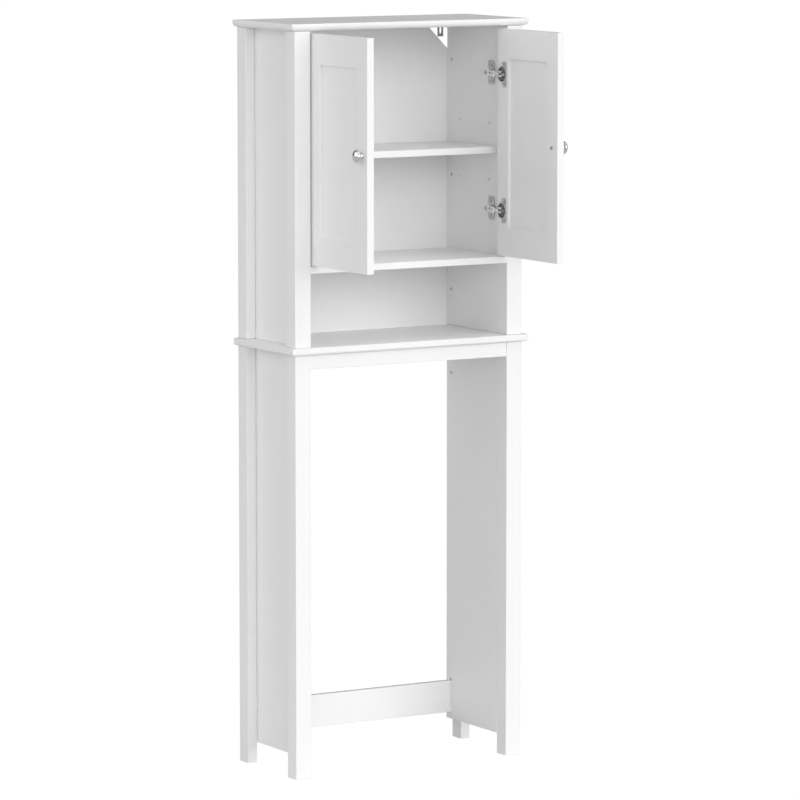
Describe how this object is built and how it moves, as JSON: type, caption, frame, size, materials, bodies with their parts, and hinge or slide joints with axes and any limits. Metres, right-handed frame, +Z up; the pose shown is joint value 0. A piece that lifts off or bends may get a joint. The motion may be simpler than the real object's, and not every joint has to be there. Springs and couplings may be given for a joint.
{
  "type": "over-toilet storage cabinet",
  "caption": "Tall narrow white cabinet on an open stand that straddles a toilet, with framed doors, an adjustable shelf, an open niche and wall brackets.",
  "frame": {"origin": "on the floor, midway across the width and midway over the depth taken up with the doors open", "axes": "+X to the right as seen from the front, +Y from the front to the wall, +Z up"},
  "size_m": [0.618, 0.5124, 1.7],
  "materials": {
    "painted_board": "satin white paint on medium-density board",
    "painted_back": "flat white film on thin hardboard",
    "knob_metal": "polished bright metal",
    "hinge_nickel": "nickel-plated pressed steel",
    "plated_steel": "zinc-plated steel"
  },
  "bodies": {
    "carcass": {"top_panel": "painted_board", "middle_panel": "painted_board", "fixed_shelf": "painted_board", "adjustable_shelf": "painted_board", "front_apron": "painted_board", "rear_stretcher": "painted_board", "back_panel": "painted_back", "left_upper_front_post": "painted_board", "left_upper_rear_post": "painted_board", "left_upper_side_panel": "painted_board", "left_front_leg": "painted_board", "left_rear_leg": "painted_board", "left_lower_side_panel": "painted_board", "left_front_shelf_pin": "plated_steel", "left_rear_shelf_pin": "plated_steel", "left_wall_bracket": "plated_steel", "left_bracket_screw": "plated_steel", "left_upper_hinge_plate": "hinge_nickel", "left_upper_hinge_arm": "hinge_nickel", "left_lower_hinge_plate": "hinge_nickel", "left_lower_hinge_arm": "hinge_nickel", "right_upper_front_post": "painted_board", "right_upper_rear_post": "painted_board", "right_upper_side_panel": "painted_board", "right_front_leg": "painted_board", "right_rear_leg": "painted_board", "right_lower_side_panel": "painted_board", "right_front_shelf_pin": "plated_steel", "right_rear_shelf_pin": "plated_steel", "right_wall_bracket": "plated_steel", "right_bracket_screw": "plated_steel", "right_upper_hinge_plate": "hinge_nickel", "right_upper_hinge_arm": "hinge_nickel", "right_lower_hinge_plate": "hinge_nickel", "right_lower_hinge_arm": "hinge_nickel"},
    "left_door": {"left_door_hinge_stile": "painted_board", "left_door_knob_stile": "painted_board", "left_door_top_rail": "painted_board", "left_door_bottom_rail": "painted_board", "left_door_panel": "painted_board", "left_knob": "knob_metal", "left_knob_screw": "plated_steel", "left_upper_hinge_cup": "hinge_nickel", "left_lower_hinge_cup": "hinge_nickel"},
    "right_door": {"right_door_hinge_stile": "painted_board", "right_door_knob_stile": "painted_board", "right_door_top_rail": "painted_board", "right_door_bottom_rail": "painted_board", "right_door_panel": "painted_board", "right_knob": "knob_metal", "right_knob_screw": "plated_steel", "right_upper_hinge_cup": "hinge_nickel", "right_lower_hinge_cup": "hinge_nickel"},
    "left_hinge_links": {"left_upper_hinge_link": "hinge_nickel", "left_lower_hinge_link": "hinge_nickel"},
    "right_hinge_links": {"right_upper_hinge_link": "hinge_nickel", "right_lower_hinge_link": "hinge_nickel"}
  },
  "joints": [
    {"name": "left_door_hinge", "type": "hinge", "parent": "carcass", "child": "left_door", "pos_m": [-0.2495, -0.00765, 1.42], "axis": [0, 0, 1], "range_deg": [0, 90]},
    {"name": "right_door_hinge", "type": "hinge", "parent": "carcass", "child": "right_door", "pos_m": [0.2495, -0.00765, 1.42], "axis": [0, 0, 1], "range_deg": [-90, 0]},
    {"name": "left_link_pivot", "type": "hinge", "parent": "carcass", "child": "left_hinge_links", "pos_m": [-0.23236, 0.00735, 1.42], "axis": [0, 0, 1], "range_deg": [-26, 0]},
    {"name": "right_link_pivot", "type": "hinge", "parent": "carcass", "child": "right_hinge_links", "pos_m": [0.23236, 0.00735, 1.42], "axis": [0, 0, 1], "range_deg": [0, 26]}
  ],
  "couplings": [
    {"joint": "left_link_pivot", "follows": "left_door_hinge", "ratio": -0.2872},
    {"joint": "right_link_pivot", "follows": "right_door_hinge", "ratio": -0.2872}
  ]
}
